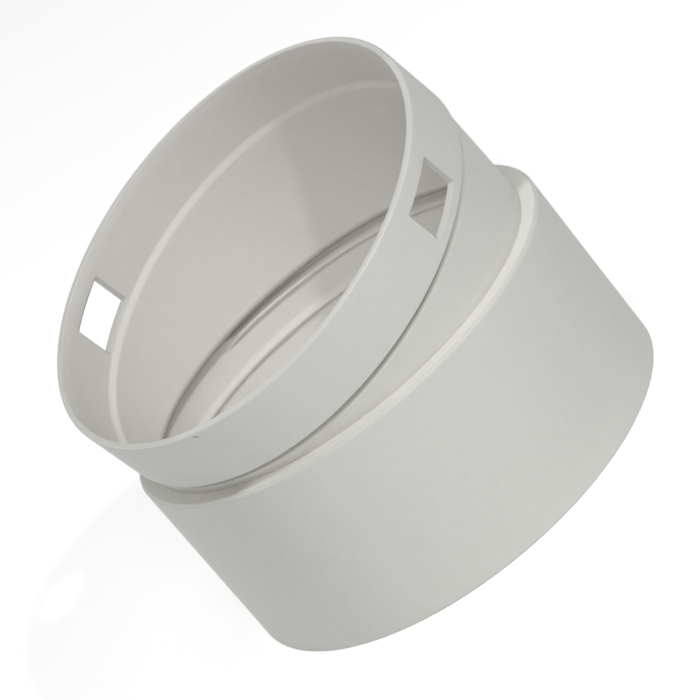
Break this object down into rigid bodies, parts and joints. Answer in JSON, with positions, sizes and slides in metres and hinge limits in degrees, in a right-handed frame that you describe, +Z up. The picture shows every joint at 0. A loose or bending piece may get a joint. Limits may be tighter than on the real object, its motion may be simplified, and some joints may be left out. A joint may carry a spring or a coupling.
{
  "type": "hose adapter",
  "caption": "Angled duct adapter: a round socket with an internal hose thread leads through a short oblique neck to a tilted collar with snap-in windows.",
  "frame": {"origin": "centre of the hose socket's open mouth", "axes": "+Z up along the hose socket's axis, from the mouth to the shoulder; the collar leans towards -X"},
  "size_m": [0.16, 0.156, 0.1337],
  "materials": {
    "moulding": "fine satin texture, warm light grey"
  },
  "bodies": {
    "root": {"hose_adapter": "moulding"}
  },
  "joints": []
}
